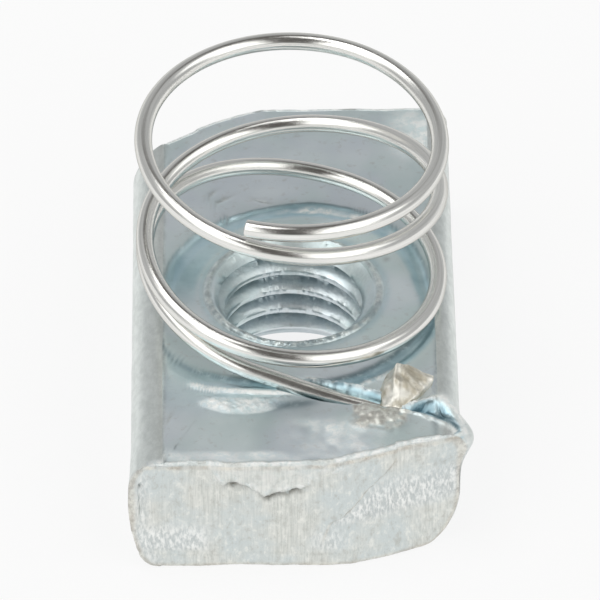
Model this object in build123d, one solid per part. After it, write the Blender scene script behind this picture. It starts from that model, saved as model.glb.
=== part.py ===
from build123d import *
import math
import os

# Strut spring nut: a block sheared from flat bar and tapped M10 through its middle, with
# toothed grooves across its underside for the lips of a strut channel, and a left-hand
# coil spring whose tail is staked into a slot in the top face.
#
# Millimetres. +Z up, with the spring on top. X runs across the bar and Y along the nut.
# The origin is on the axis of the tapped hole, at the underside of the nut.

# --- Bar ----------------------------------------------------------------------------------
bar_width = 19.9
bar_thickness = 8.1
top_radius_left = 1.9  # rolled long edges of the upper face
top_radius_right = 1.3
bottom_round_width_left = 1.65  # rolled long edges of the underside, taller than they are wide
bottom_round_width_right = 2.2
bottom_round_height = 3.4

# --- Sheared ends, measured from the hole axis --------------------------------------------
front_reach = 16.5
back_reach = 18.5
front_relief_start = 1.6  # how far right of the middle the front relief leaves the end
front_relief_depth = 3.45  # how much shorter the nut is at the relieved corner
front_relief_radius = 35.5
back_relief_start = 1.9  # the same cut at the back, on the left
back_relief_depth = 5.5
back_relief_radius = 19.1
relief_lean = 3.5  # degrees that the relief faces lean out towards the underside

# --- Tapped hole, M10 x 1.5 ---------------------------------------------------------------
bore_radius = 4.25  # at the crests of the thread
upper_mouth_radius = 5.0
upper_mouth_depth = 0.9
lower_mouth_radius = 5.9  # wide lead-in for the bolt
lower_mouth_depth = 1.8
rim_width = 0.5  # burr ring thrown up round the upper mouth
rim_height = 0.14

# --- Toothed grooves for the channel lips -------------------------------------------------
lip_spacing = 24.6  # between the middles of the two grooves
lip_groove_width = 3.2  # at the underside
lip_groove_floor = 2.0
lip_groove_depth = 1.1
tooth_pitch = 1.6
tooth_depth = 0.6

# --- Spring -------------------------------------------------------------------------------
wire_diameter = 1.08
coil_radius = 9.0  # to the middle of the wire
coil_shift_x = -0.1  # the coil sits a little off the hole axis
coil_shift_y = 0.2
free_end_angle = -110  # anticlockwise from +X, as seen from above
tail_angle = 254.4  # where in its last turn the wire leaves the coil, as a tangent
whole_turns = 2  # before that last turn
tail_length = 11.0
# Height of the middle of the wire above the nut's face at every quarter turn, going down
# from the free end: a closed turn, an open one, and a closed one that leans up on the
# side away from its staked tail.
quarter_heights = [11.6, 11.15, 12.2, 11.95, 10.1, 8.2, 6.2, 4.6, 2.15, 1.0, 2.0, 3.6]
tail_heights = [0.48, -0.4, -0.6]  # where the tail begins, partway along and at its tip
tail_partway = 0.45  # share of the tail's length

# --- Oval seat groove pressed round the hole ----------------------------------------------
seat_radius_x = 7.5  # to the middle of the groove
seat_radius_y = 8.7
seat_shift_y = -0.7
seat_width = 1.3
seat_depth = 0.3

# --- Slot for the tail --------------------------------------------------------------------
wire_clearance = 0.03  # all round the staked tail
arcs_in_way = 5  # of those that the wire is bent along, how many the nut is cut to clear
slot_start = 3.0  # from where the tail leaves the coil
slot_far_side = 0.75  # from the middle of the wire to the steep wall
slot_near_side = 0.62
slot_floor_gap = 0.1  # under the tip of the tail
mouth_start = 1.4  # before the tip of the tail, where the slot begins to flare
mouth_far_radius = 3.2  # of the curved walls of the mouth
mouth_near_radius = 6.9
mouth_exit = 12.9  # how far in front of the hole axis the far wall leaves the side
mouth_width = 1.4  # along the side, where the mouth leaves the nut

# --- Metal moved by the staking -----------------------------------------------------------
bulge_reach = 0.5  # how far the slot's mouth pushed the side out
bulge_radius = 2.4
bulge_drop = 1.4  # from the face down to the middle of the bulge
bulge_forward = 12.5  # from the hole axis towards the front
lug_bite = 8.9  # along the tail, where the lug closes over the wire
lug_height = 1.3
lug_width = 2.9
lug_length = 3.5
lip_height = 0.4  # the lower lip, on the near side of the wire
lip_length = 3.2
lip_width = 1.8
root_depth = 0.5  # how deep the lug and the lip join into the face

wire_radius = wire_diameter / 2
half_width = bar_width / 2
face = bar_thickness
past = 3.0  # how far a cutter runs past the metal that it cuts


# --- Bar and ends -------------------------------------------------------------------------
def bar():
    """The rolled bar, cut to length, with its four long edges rounded."""
    right_low = half_width - bottom_round_width_right
    left_low = -half_width + bottom_round_width_left
    right_top = half_width - top_radius_right
    left_top = -half_width + top_radius_left
    with BuildSketch(Plane.XZ) as section:
        with BuildLine():
            Line((left_low, 0), (right_low, 0))
            EllipticalCenterArc(
                (right_low, bottom_round_height),
                bottom_round_width_right,
                bottom_round_height,
                start_angle=270,
                arc_size=90,
            )
            Line((half_width, bottom_round_height), (half_width, face - top_radius_right))
            CenterArc((right_top, face - top_radius_right), top_radius_right, 0, 90)
            Line((right_top, face), (left_top, face))
            CenterArc((left_top, face - top_radius_left), top_radius_left, 90, 90)
            Line((-half_width, face - top_radius_left), (-half_width, bottom_round_height))
            EllipticalCenterArc(
                (left_low, bottom_round_height),
                bottom_round_width_left,
                bottom_round_height,
                start_angle=180,
                arc_size=90,
            )
        make_face()
    length = front_reach + back_reach
    return Pos(0, back_reach, 0) * extrude(section.sketch, amount=length)


def relief_cutter(start, reach, depth, radius):
    """Cutter for a relieved corner, drawn for the one at the front on the right."""
    inner = Vector(start, -reach)
    corner = Vector(half_width, -reach + depth)
    arc = RadiusArc(inner, corner, -radius)
    outer = corner + (arc % 1) * past
    below = Vector(outer.X, -reach - past)
    outline = [
        arc,
        Line(corner, outer),
        Line(outer, below),
        Line(below, Vector(inner.X, below.Y)),
        Line(Vector(inner.X, below.Y), inner),
    ]
    return extrude(Pos(0, 0, face) * make_face(outline), amount=-face, taper=relief_lean)


# --- Hole and underside -------------------------------------------------------------------
def hole_cutter():
    """The tapped hole with its two mouths, as one turned shape."""
    with BuildSketch(Plane.XZ) as profile:
        with BuildLine():
            Polyline(
                (0, -past),
                (lower_mouth_radius, -past),
                (lower_mouth_radius, 0),
                (bore_radius, lower_mouth_depth),
                (bore_radius, face - upper_mouth_depth),
                (upper_mouth_radius, face),
                (upper_mouth_radius, face + past),
                (0, face + past),
                close=True,
            )
        make_face()
    return revolve(profile.sketch, axis=Axis.Z)


def rim():
    """The low burr ring round the upper mouth."""
    inner = upper_mouth_radius
    outer = upper_mouth_radius + rim_width
    with BuildSketch(Plane.XZ) as profile:
        with BuildLine():
            Polyline(
                (inner, face),
                (inner, face - rim_height),
                (outer, face - rim_height),
                (outer, face),
            )
            Spline((outer, face), ((inner + outer) / 2, face + rim_height), (inner, face))
        make_face()
    return revolve(profile.sketch, axis=Axis.Z)


def lip_groove():
    """Cutter for one toothed groove, running along X under the middle of the nut."""
    with BuildSketch(Plane.YZ) as channel:
        with BuildLine():
            Polyline(
                (-lip_groove_width / 2, 0),
                (-lip_groove_floor / 2, lip_groove_depth),
                (lip_groove_floor / 2, lip_groove_depth),
                (lip_groove_width / 2, 0),
                close=True,
            )
        make_face()
    teeth = math.ceil(bar_width / tooth_pitch)
    first = -teeth * tooth_pitch / 2
    points = [(first, 0)]
    for tooth in range(teeth):
        left = first + tooth * tooth_pitch
        points.append((left, lip_groove_depth))
        points.append((left + tooth_pitch / 2, lip_groove_depth + tooth_depth))
    points.append((-first, lip_groove_depth))
    points.append((-first, 0))
    with BuildSketch(Plane.XZ) as comb:
        with BuildLine():
            Polyline(*points, close=True)
        make_face()
    groove = extrude(channel.sketch, amount=half_width + past, both=True)
    return groove + extrude(comb.sketch, amount=lip_groove_floor / 2, both=True)


# --- Bars bent along arcs -----------------------------------------------------------------
def arc_pair(start, start_way, end, end_way):
    """Two arcs that join two points smoothly, in the directions given at both."""
    across = end - start
    both = start_way + end_way
    a = 4 - both.dot(both)
    b = across.dot(both)
    leg = (math.sqrt(b**2 + a * across.dot(across)) - b) / a
    start_leg = start + start_way * leg
    end_leg = end - end_way * leg
    middle = (start_leg + end_leg) * 0.5
    middle_way = end_leg - start_leg
    return [
        TangentArc(start, middle, tangent=start_way),
        TangentArc(middle, end, tangent=middle_way),
    ]


def round_bar_along(arcs, radius):
    """A round bar that follows joined arcs, each length of it a part of a ring."""
    lengths = []
    for arc in arcs:
        section = Plane(origin=arc @ 0, z_dir=arc % 0) * Circle(radius)
        turn = math.degrees(arc.length / arc.radius)
        lengths.append(revolve(section, Axis(arc.arc_center, arc.normal()), turn))
    return lengths[0].fuse(*lengths[1:])


# --- Spring -------------------------------------------------------------------------------
coiled_length = coil_radius * math.radians(tail_angle + 360 * whole_turns - free_end_angle)
tail_turn = math.radians(tail_angle)
tail_way = Vector(-math.sin(tail_turn), math.cos(tail_turn), 0)


def coil_point(angle, height):
    """A point on the middle of the coiled wire, at a height above the nut's face."""
    turn = math.radians(angle)
    x = coil_shift_x + coil_radius * math.cos(turn)
    y = coil_shift_y + coil_radius * math.sin(turn)
    return Vector(x, y, face + height)


tail_root = coil_point(tail_angle, 0)
tail_frame = Plane(origin=tail_root, x_dir=tail_way, z_dir=(0, 0, 1))


def wire_stations():
    """Distance along the wire, angle round the coil and height, from the free end down."""
    stations = []
    for quarter, height in enumerate(quarter_heights):
        distance = coil_radius * math.pi / 2 * quarter
        stations.append((distance, free_end_angle + 90 * quarter, height))
    for share, height in zip((0, tail_partway, 1), tail_heights):
        stations.append((coiled_length + tail_length * share, tail_angle, height))
    return stations


def wire_arcs():
    """Smoothly joined arcs along the wire, two between each station and the next."""
    stations = wire_stations()
    last = len(stations) - 1
    points = []
    ways = []
    for index, (distance, angle, height) in enumerate(stations):
        before = stations[max(index - 1, 0)]
        after = stations[min(index + 1, last)]
        slope = (after[2] - before[2]) / (after[0] - before[0]) if index else 0
        along_tail = max(distance - coiled_length, 0)
        points.append(coil_point(angle, height) + tail_way * along_tail)
        flat_way = Vector(0, 1, 0).rotate(Axis.Z, angle)
        ways.append((flat_way + Vector(0, 0, slope)).normalized())
    arcs = []
    for index in range(last):
        arcs += arc_pair(points[index], ways[index], points[index + 1], ways[index + 1])
    return arcs


def coil_spring():
    """The whole wire: coil and tail, cut square at both ends."""
    return round_bar_along(wire_arcs(), wire_radius)


def wire_way():
    """Cutter that gives the staked end of the wire its clearance in the metal."""
    return round_bar_along(wire_arcs()[-arcs_in_way:], wire_radius + wire_clearance)


# --- Top face -----------------------------------------------------------------------------
def seat_groove():
    """Cutter for the round-bottomed oval groove round the hole."""
    radius = (seat_width**2 / 4 + seat_depth**2) / (2 * seat_depth)
    middle = Pos(0, seat_shift_y, face - seat_depth + radius)
    corners = [(seat_radius_x, 0), (0, seat_radius_y), (-seat_radius_x, 0), (0, -seat_radius_y)]
    arcs = []
    for quarter in range(4):
        start = Vector(*corners[quarter])
        end = Vector(*corners[(quarter + 1) % 4])
        start_way = Vector(0, 1).rotate(Axis.Z, 90 * quarter)
        end_way = Vector(0, 1).rotate(Axis.Z, 90 * quarter + 90)
        arcs += arc_pair(start, start_way, end, end_way)
    return middle * round_bar_along(arcs, radius)


def slot():
    """Cutter for the slot under the tail and its flared mouth at the side."""
    depth = wire_radius - tail_heights[-1] + slot_floor_gap
    flare = tail_length - mouth_start
    with BuildSketch(tail_frame) as straight:
        with BuildLine():
            Polyline(
                (slot_start, slot_far_side),
                (slot_start, -slot_near_side),
                (tail_length, -slot_near_side),
                (tail_length, slot_far_side),
                close=True,
            )
        make_face()
    far_start = tail_frame.from_local_coords(Vector(flare, slot_far_side))
    near_start = tail_frame.from_local_coords(Vector(flare, -slot_near_side))
    far_end = Vector(half_width + bulge_reach, -mouth_exit, face)
    near_end = far_end - Vector(0, mouth_width, 0)
    flared = [
        RadiusArc(far_start, far_end, mouth_far_radius),
        Line(far_end, near_end),
        RadiusArc(near_end, near_start, -mouth_near_radius),
        Line(near_start, far_start),
    ]
    cutter = extrude(straight.sketch, amount=depth, both=True)
    return cutter + extrude(make_face(flared), amount=depth, dir=(0, 0, -1), both=True)


def bulge():
    """Metal swollen out of the side at the mouth of the slot, level with the face."""
    x = half_width + bulge_reach - bulge_radius
    swollen = Pos(x, -bulge_forward, face - bulge_drop) * Sphere(bulge_radius)
    below_face = Pos(x, -bulge_forward, face - past) * Box(2 * past, 2 * past, 2 * past)
    return swollen & below_face


def lofted_lump(sections):
    """A lump lofted through trapezia: each gives its plane, its root and its ridge."""
    faces = []
    for corners in sections:
        wire = Polyline(*[tail_frame.from_local_coords(Vector(*c)) for c in corners], close=True)
        faces.append(make_face(wire))
    return loft(faces, ruled=True)


def lug():
    """The tall lug bent over the wire from the far side of the slot."""
    rows = [
        # across the tail, left and right of the bite, ridge left and right, height
        (0.83, -0.10, 0.60, 0.10, 0.40, 0.10),
        (0.62, -0.38, 0.62, -0.15, 0.02, 1.00),
        (0.23, -0.44, 0.45, -0.06, 0.05, 0.62),
        (-0.17, -0.20, 0.17, 0.0, 0.10, 0.10),
    ]
    sections = []
    for across, left, right, ridge_left, ridge_right, height in rows:
        y = across * lug_length
        sections.append(
            [
                (lug_bite + left * lug_width, y, -root_depth),
                (lug_bite + right * lug_width, y, -root_depth),
                (lug_bite + ridge_right * lug_width, y, height * lug_height),
                (lug_bite + ridge_left * lug_width, y, height * lug_height),
            ]
        )
    return lofted_lump(sections)


def lower_lip():
    """The low lip pinched against the wire from the near side."""
    rows = [
        # along the lip, far edge and near edge across the tail, height
        (-0.50, 0.45, 0.75, 0.15),
        (-0.10, 0.20, 1.15, 0.90),
        (0.20, 0.20, 1.20, 1.00),
        (0.50, 0.45, 0.85, 0.20),
    ]
    sections = []
    for along, far, near, height in rows:
        x = lug_bite - lip_length / 4 + along * lip_length
        far_y = -far * lip_width
        near_y = -near * lip_width
        sections.append(
            [
                (x, near_y, -root_depth),
                (x, far_y, -root_depth),
                (x, far_y, height * lip_height),
                (x, near_y + (far_y - near_y) / 2, height * lip_height),
            ]
        )
    return lofted_lump(sections)


# --- Nut ----------------------------------------------------------------------------------
def nut_body():
    body = bar() + bulge()
    body -= relief_cutter(front_relief_start, front_reach, front_relief_depth, front_relief_radius)
    back = relief_cutter(back_relief_start, back_reach, back_relief_depth, back_relief_radius)
    body -= back.rotate(Axis.Z, 180)
    body -= seat_groove()
    body -= slot()
    body += lug() + lower_lip()
    body += rim()
    body -= hole_cutter()
    for side in (-1, 1):
        body -= Pos(0, side * lip_spacing / 2, 0) * lip_groove()
    return body - wire_way()


if __name__ == "__main__":
    os.makedirs("parts", exist_ok=True)
    export_step(nut_body(), "parts/nut_body.step")
    export_step(coil_spring(), "parts/coil_spring.step")
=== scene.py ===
import functools
import math

import bmesh
import bpy
import numpy as np
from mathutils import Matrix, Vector


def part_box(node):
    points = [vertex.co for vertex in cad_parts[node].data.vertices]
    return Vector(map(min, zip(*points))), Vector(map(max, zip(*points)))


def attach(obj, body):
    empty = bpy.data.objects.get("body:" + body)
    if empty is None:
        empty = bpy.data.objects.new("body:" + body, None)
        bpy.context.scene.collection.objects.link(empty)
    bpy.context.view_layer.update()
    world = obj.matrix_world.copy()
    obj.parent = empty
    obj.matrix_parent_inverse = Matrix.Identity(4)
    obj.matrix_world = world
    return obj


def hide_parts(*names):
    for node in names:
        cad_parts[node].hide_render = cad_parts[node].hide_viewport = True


# Strut spring nut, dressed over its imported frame. Shapes are worked out in millimetres in the
# frame's axes: the origin is on the hole axis at the underside, +Z is up and Y runs along the
# nut. Every mesh is scaled to metres when it is made.

MM = 0.001

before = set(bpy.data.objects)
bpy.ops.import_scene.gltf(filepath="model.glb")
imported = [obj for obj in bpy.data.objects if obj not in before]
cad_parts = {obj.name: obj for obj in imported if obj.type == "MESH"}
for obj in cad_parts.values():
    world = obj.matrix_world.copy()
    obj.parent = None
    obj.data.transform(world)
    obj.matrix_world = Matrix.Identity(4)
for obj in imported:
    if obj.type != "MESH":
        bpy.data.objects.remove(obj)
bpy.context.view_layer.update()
nut_low, nut_high = [Vector(corner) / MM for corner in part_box("nut_body")]

# --- Sizes ---
thickness = 8.1
half_width = 9.95
top_radius_left = 1.9
top_radius_right = 1.3
bottom_round_left = 1.65
bottom_round_right = 2.5
bottom_round_height = 3.4
front_end = nut_low.y
back_end = nut_high.y
relief_lean = math.tan(math.radians(3.5))
front_relief = (-7.67, 17.76, 35.5)  # centre and radius of the sheared arcs
back_relief = (4.44, 0.47, 19.1)
edge_wear = 0.16

bore_radius = 4.25
thread_pitch = 1.5
thread_depth = 0.8
crest_half_width = 0.17
flank_slope = math.tan(math.radians(60))
crest_height = 6.1  # of a crest on the back wall of the hole
upper_mouth = (5.0, 0.9)  # radius and depth
lower_mouth = (5.9, 1.8)
rim_middle, rim_width, rim_height = 5.26, 0.56, 0.14

# The seat groove's inner and outer edges, as angles in degrees round the hole and radii.
seat_angles = (-147, -139, -129, -118, -107, -92, -64, -42, -21)
seat_angles += (0, 20, 34, 56, 79, 104, 128, 160, 180)
seat_inner = (9.6, 9.88, 9.88, 9.5, 9.1, 8.95, 8.95, 8.66, 8.5)
seat_inner += (7.35, 7.3, 7.4, 7.5, 7.45, 7.1, 6.9, 6.9, 7.3)
seat_outer = (10.4, 11.1, 11.5, 11.1, 10.4, 10.15, 10.15, 9.9, 9.7)
seat_outer += (8.4, 8.5, 8.8, 8.97, 8.89, 8.39, 8.25, 8.2, 8.2)
seat_depth_back = 0.13
seat_depth_front = 0.06
fan_middle, fan_radius = (-3.1, -7.6), 4.35
marks = (
    (-5.1, 9.6, 0.5, 0.9),
    (-4.4, 9.0, 0.7, 0.6),
    (-1.9, 8.9, 0.6, -0.4),
    (5.88, 3.04, 0.3, 0.1),
    (-7.6, -12.2, 0.5, 1.2),
)
crease_left = -8.02
crease_right = 8.5

lip_spacing = 24.6
lip_groove_width = 3.2
lip_groove_floor = 2.0
lip_groove_depth = 1.1
tooth_pitch = 1.6
tooth_depth = 0.6

wire_radius = 0.54
coil_radius = 9.0
coil_shift = (-0.1, 0.2)
free_end_angle = -110
tail_angle = 254.4
whole_turns = 2
tail_length = 9.7
quarter_heights = [11.45, 11.1, 12.2, 11.95, 10.1, 8.2, 6.2, 4.6, 2.15, 1.0, 2.0, 3.6]
tail_heights = [0.48, -0.55, -1.1]
tail_partway = 0.51
free_end_trim = 0.27
end_bevel = 0.07
wire_points, wire_around = 760, 28  # along the wire's middle, and round it


# --- Noise ---
def lattice(i, j, seed):
    value = np.sin(i * 127.1 + j * 311.7 + seed * 74.7) * 43758.5453
    return 2 * (value - np.floor(value)) - 1


def noise(x, y, seed=0):
    """Smooth noise between -1 and 1 on a grid of cells one unit wide."""
    i, j = np.floor(x), np.floor(y)
    u, v = x - i, y - j
    u, v = u * u * (3 - 2 * u), v * v * (3 - 2 * v)
    low = lattice(i, j, seed) * (1 - u) + lattice(i + 1, j, seed) * u
    high = lattice(i, j + 1, seed) * (1 - u) + lattice(i + 1, j + 1, seed) * u
    return low * (1 - v) + high * v


def layered_noise(x, y, seed=0, layers=3):
    total = 0
    for layer in range(layers):
        total = total + noise(x * 2**layer, y * 2**layer, seed + layer) / 2**layer
    return total


def peak(value, middle, width, power=2):
    """1 at the middle, falling to 0 on both sides within about twice the width."""
    return np.exp(-(((value - middle) / width) ** power))


def spot(x, y, middle, width, power=2):
    """1 at a place, falling to 0 all round it."""
    return np.exp(-(((x - middle[0]) / width[0]) ** power) - ((y - middle[1]) / width[1]) ** power)


def most(*masks):
    """The greatest of some masks at each place."""
    return functools.reduce(np.maximum, masks)


def smooth(value, low, high):
    """A smooth step from 0 at low to 1 at high, which may be the smaller."""
    share = np.clip((value - low) / (high - low), 0, 1)
    return share * share * (3 - 2 * share)


# --- Camera ---
camera_yaw, camera_elevation = 0.605, 38.5  # in degrees
camera_target, camera_distance = (0, 0.911, 9.0), 450.4
camera_lens, sensor_width = 438.9, 36
image_width = 600
camera_shift = (6.73, -30.35)  # in parts of the image's width


def add_camera():
    """The photograph's view, a long lens that looks down along the nut."""
    yaw, elevation = math.radians(camera_yaw), math.radians(camera_elevation)
    ahead = Vector(
        (
            math.sin(yaw) * math.cos(elevation),
            math.cos(yaw) * math.cos(elevation),
            -math.sin(elevation),
        )
    )
    data = bpy.data.cameras.new("camera")
    data.sensor_width = sensor_width
    data.lens = camera_lens
    data.shift_x, data.shift_y = [shift / image_width for shift in camera_shift]
    data.clip_start = 0.01
    camera = placed("camera", data)
    camera.location = (Vector(camera_target) - ahead * camera_distance) * MM
    camera.rotation_euler = ahead.to_track_quat("-Z", "Y").to_euler()
    bpy.context.scene.camera = camera


# --- Outline of the nut ---
def half_width_at(z, radius, bottom_width):
    """Half the bar's width at a height, with the given rounding at the top and the bottom."""
    above = np.clip(z - (thickness - radius), 0, radius)
    below = np.clip((bottom_round_height - z) / bottom_round_height, 0, 1)
    top_inset = radius - np.sqrt(radius**2 - above**2)
    low_inset = bottom_width * (1 - np.sqrt(1 - below**2))
    return half_width - top_inset - low_inset


def corners_at(z):
    """The six corners of the outline at a height, anticlockwise from the back on the left."""
    left = -half_width_at(z, top_radius_left, bottom_round_left)
    right = half_width_at(z, top_radius_right, bottom_round_right)
    lean = relief_lean * (thickness - z)
    fx, fy, front_radius = front_relief[0], front_relief[1], front_relief[2] + lean
    bx, by, back_radius = back_relief[0], back_relief[1], back_relief[2] + lean
    front_x = fx + np.sqrt(front_radius**2 - (fy - front_end) ** 2)
    right_y = fy - np.sqrt(front_radius**2 - (right - fx) ** 2)
    back_x = bx - np.sqrt(back_radius**2 - (back_end - by) ** 2)
    left_y = by + np.sqrt(back_radius**2 - (left - bx) ** 2)
    return [
        (left, left_y),
        (left, front_end + 0 * z),
        (front_x, front_end + 0 * z),
        (right, right_y),
        (right, back_end + 0 * z),
        (back_x, back_end + 0 * z),
    ]


def along_arc(start, end, share, centre):
    """Points on the arc between two points, about the centre."""
    first = np.arctan2(start[1] - centre[1], start[0] - centre[0])
    last = np.arctan2(end[1] - centre[1], end[0] - centre[0])
    last = np.where(last < first, last + 2 * np.pi, last)
    radius = np.hypot(start[0] - centre[0], start[1] - centre[1])
    angle = first + (last - first) * share
    return centre[0] + radius * np.cos(angle), centre[1] + radius * np.sin(angle)


# For each side of the outline: how many columns of faces, and how they crowd to its ends.
sides = [(50, 0.8), (112, 1.0), (100, 1.0), (70, 1.9), (28, 1.0), (32, 1.0)]
side_of = np.concatenate([np.full(count, side) for side, (count, _) in enumerate(sides)])
share_of = np.concatenate([(np.arange(count) / count) ** power for count, power in sides])
columns = len(side_of)


def sheared(column_side):
    """1 on the sheared ends and 0 on the rolled sides."""
    return np.isin(column_side, (1, 2, 4, 5)).astype(float)


def outline(z):
    """The outline's point in each column, where z gives each column's height."""
    corners = corners_at(z)
    x, y = np.zeros_like(z), np.zeros_like(z)
    for side in range(6):
        start, end = corners[side], corners[(side + 1) % 6]
        if side == 2:
            px, py = along_arc(start, end, share_of, front_relief)
        elif side == 5:
            px, py = along_arc(start, end, share_of, back_relief)
        else:
            px = start[0] + (end[0] - start[0]) * share_of
            py = start[1] + (end[1] - start[1]) * share_of
        here = side_of == side
        x, y = np.where(here, px, x), np.where(here, py, y)
    return x, y


# --- Heights of the top face ---
tail_turn = math.radians(tail_angle)
tail_way = (-math.sin(tail_turn), math.cos(tail_turn))
tail_root = (
    coil_shift[0] + coil_radius * math.cos(tail_turn),
    coil_shift[1] + coil_radius * math.sin(tail_turn),
)


def tail_coordinates(x, y):
    """Distance along the tail from the coil, and across it towards the back."""
    dx, dy = x - tail_root[0], y - tail_root[1]
    return dx * tail_way[0] + dy * tail_way[1], dy * tail_way[0] - dx * tail_way[1]


# The slot's two edges, as distances along the tail and across it.
far_edge = (
    (0, 0.2), (2, 0.4), (3, 0.68), (4, 0.76), (5, 0.8), (5.9, 0.79), (6.6, 0.7), (7.5, 0.54),
    (8.6, 0.42), (9.1, -0.2), (9.45, -0.5), (9.9, -0.02), (10.3, 0.42), (10.8, 0.8), (11.2, 0.9),
)
near_edge = (
    (0, -0.9), (3.2, -0.94), (4.5, -1.08), (6.6, -1.0), (7.3, -0.72), (8.7, -0.66), (10.1, -0.64),
    (10.6, -0.63), (11.2, -0.73), (11.9, -0.94), (12.5, -1.1), (13, -1.36), (13.5, -1.88),
    (13.9, -2.5),
)


# The hollow at the slot's right end: where it starts, its direction, and its far edge as
# distances along and across that direction.
hollow_start = (9.9, -0.02)
hollow_way = (0.85, -0.526)
hollow_edge = (
    (0, 0.11, 0.33, 0.62, 1.14, 1.76, 2.51, 3.25, 4.01, 4.52),
    (0, 0.58, 1.17, 1.46, 1.58, 1.53, 1.27, 0.92, 0.45, 0),
)


def line_distance(line, s, t):
    """Distance to a line of points, positive on the right of its direction."""
    nearest, side = np.full(np.shape(s), np.inf), np.zeros(np.shape(s))
    for (s0, t0), (s1, t1) in zip(line, line[1:]):
        ds, dt = s1 - s0, t1 - t0
        share = np.clip(((s - s0) * ds + (t - t0) * dt) / (ds**2 + dt**2), 0, 1)
        gap = np.hypot(s - s0 - ds * share, t - t0 - dt * share)
        turn = np.sign((s - s0) * dt - (t - t0) * ds)
        side = np.where(gap < nearest, turn, side)
        nearest = np.minimum(gap, nearest)
    return nearest * side


def slot_edges(s, t):
    """How far inside the slot a place is from its far edge and from its near one."""
    ragged = 0.025 * noise(s * 2.3, t * 0.4, 3) + 0.012 * noise(s * 8.3, t, 4)
    ds, dt = s - hollow_start[0], t - hollow_start[1]
    along = ds * hollow_way[0] + dt * hollow_way[1]
    across = dt * hollow_way[0] - ds * hollow_way[1]
    round_end = 0.85 * (np.interp(along, *hollow_edge) - across)
    in_hollow = smooth(s, 9.9, 10.5)
    from_far = (line_distance(far_edge, s, t) + ragged) * (1 - in_hollow) + round_end * in_hollow
    from_near = -line_distance(near_edge, s, t) + 0.5 * ragged
    return from_far, from_near


def slot_drop(x, y):
    """How far the slot for the tail goes down: a ribbed far wall and a steep near one."""
    s, t = tail_coordinates(x, y)
    from_far, from_near = slot_edges(s, t)
    ribs = 0.014 * noise(s * 4.6, t * 0.3, 5)
    dished = smooth(s, 9.8, 11)
    wall = smooth(from_far, 0, 0.75 + 0.35 * dished) * smooth(from_near, 0, 0.16 + 0.75 * dished)
    floor = 1.1 * smooth(s, 1.4, 4.4) * (1 - 0.35 * dished)
    return (floor + ribs) * wall


def slot_lips(x, y):
    """Metal thrown up in thin torn ridges along both sides of the slot."""
    s, t = tail_coordinates(x, y)
    from_far, from_near = slot_edges(s, t)
    along = smooth(s, 2.4, 4) * (1 - smooth(s, 13.2, 13.9))
    rough = 1 + 0.8 * noise(s * 5.7, t * 1.5, 6) * (1 - 0.8 * smooth(s, 9.6, 10.4))
    width = 0.1 + 0.12 * smooth(s, 10.6, 11.6)
    far_lip = 0.12 * peak(from_far, -width, width)
    near_lip = 0.07 * peak(from_near, -0.12, 0.12) * smooth(s, 8.5, 9.5)
    chips = 0.08 * noise(s * 5, t * 4, 7) * spot(s, t, (13.3, -1.6), (0.5, 0.6))
    return along * rough * (far_lip + near_lip) + chips


def pinched_lip(x, y):
    """The low torn mound pinched up against the near side of the wire."""
    s, t = tail_coordinates(x, y)
    edge = 0.25 * noise(s * 1.3, t * 1.3, 36)
    mound = np.exp(-(((s - 8.25) / 1.5 + edge) ** 4) - ((t + 1.75) / 1.15 + edge) ** 4)
    torn = 0.8 + 0.5 * noise(s * 1.7, t * 1.9, 14) + 0.25 * noise(s * 4, t * 3.5, 15)
    return mound * (0.16 + 0.22 * smooth(t, -2.4, -0.9)) * torn


def rounded(radii):
    """Radii for each whole degree, with their corners smoothed away."""
    turns = np.arange(-180, 180)
    wrapped = np.tile(np.interp(turns, seat_angles, radii, period=360), 3)
    kernel = np.hanning(23)
    return turns, np.convolve(wrapped, kernel / kernel.sum(), "same")[360:720]


seat_edges = [rounded(seat_inner), rounded(seat_outer)]


def seat_place(x, y):
    """Share of the way across the seat groove, and how near to the front a place is."""
    angle = np.degrees(np.arctan2(y, x))
    ragged = 0.05 * noise(x * 1.7, y * 1.7, 16)
    inner, outer = [np.interp(angle, *edge, period=360) for edge in seat_edges]
    share = (np.hypot(x, y) + ragged - inner) / (outer - inner)
    return share, smooth(-y, 0.5, 4.5)


def seat_relief(x, y):
    """The groove round the hole: steep outside at the back and steep inside at the front."""
    share, front = seat_place(x, y)
    back_drop = seat_depth_back * smooth(share, 0, 0.55) * smooth(share, 1.04, 0.7)
    front_drop = seat_depth_front * smooth(share, -0.22, 0.15) * smooth(share, 0.7, 0.3)
    streak = 0.03 * peak(share, 0.45, 0.14) * smooth(y, 3, 5)
    dished = smooth(np.hypot(x, y), 5.4, 6.6) * smooth(share, 1.0, 0.8) * smooth(-x, 2, 5)
    drop = back_drop * (1 - front) + front_drop * front - streak
    return -(drop + 0.07 * dished * (1 - front)) * smooth(x, -8.1, -7.3)


def thrown_ridges(x, y):
    """The two ridges thrown up in front of the groove, the nearer one fanned out."""
    share, front = seat_place(x, y)
    ragged = 0.07 * noise(x * 2.3, y * 2.3, 17) + 0.03 * noise(x * 7, y * 7, 18)
    sides = smooth(x, -7.4, -5.6) * (1 - 0.75 * smooth(x, -0.5, 1.6)) * (1 - smooth(x, 4.6, 6.6))
    ridge = 0.11 * smooth(share + ragged, 0.35, 0.74) * smooth(share + ragged, 1.08, 0.78)
    to_arc = fan_radius - np.hypot(x - fan_middle[0], y - fan_middle[1]) + ragged
    spread = smooth(x, -6.6, -5.6) * (1 - smooth(x, -0.4, 1.4)) * smooth(-y, 10.05, 10.5)
    crumbs = 0.03 * noise(x * 4.3, y * 4.3, 34) + 0.02 * noise(x * 9, y * 9, 35)
    fan = smooth(to_arc, -0.1, 0.9) * (0.14 + crumbs)
    return ridge * sides * front + fan * spread


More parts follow.
